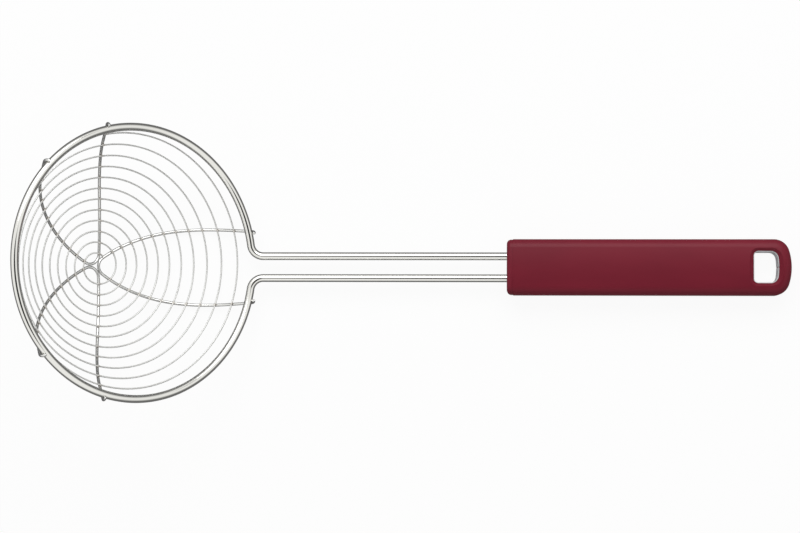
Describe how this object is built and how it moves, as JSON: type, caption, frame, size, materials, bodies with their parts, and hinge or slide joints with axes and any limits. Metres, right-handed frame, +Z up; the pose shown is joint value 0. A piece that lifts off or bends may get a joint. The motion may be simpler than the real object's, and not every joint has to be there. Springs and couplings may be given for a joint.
{
  "type": "spider skimmer",
  "caption": "Long-handled wire skimmer: a round, tilted wire bowl on a two-legged frame, with a moulded handle and a hang hole, for lifting food out of hot liquid.",
  "frame": {"origin": "middle of the length and the width, on the surface that the skimmer lies on", "axes": "+X from the bowl to the end of the handle, +Z up out of the bowl's mouth, +Y to the left when looking along +X"},
  "size_m": [0.3835, 0.14, 0.0973],
  "materials": {
    "heavy_wire": "polished stainless steel wire",
    "rib_wire": "drawn stainless steel wire",
    "fine_wire": "drawn stainless steel wire",
    "handle_plastic": "satin burgundy",
    "core_plastic": "plain moulded",
    "anchor_steel": "plain sheet steel",
    "liner_steel": "bright stainless strip"
  },
  "bodies": {
    "root": {"rim_frame": "heavy_wire", "leg_wire_left": "heavy_wire", "leg_wire_right": "heavy_wire", "rib_wire_handle_side": "rib_wire", "rib_wire_left": "rib_wire", "rib_wire_right": "rib_wire", "spiral_wire": "fine_wire", "handle_shell": "handle_plastic", "front_cap": "handle_plastic", "core_lower": "core_plastic", "core_upper": "core_plastic", "leg_anchor_plate": "anchor_steel", "hang_hole_liner": "liner_steel"}
  },
  "joints": []
}
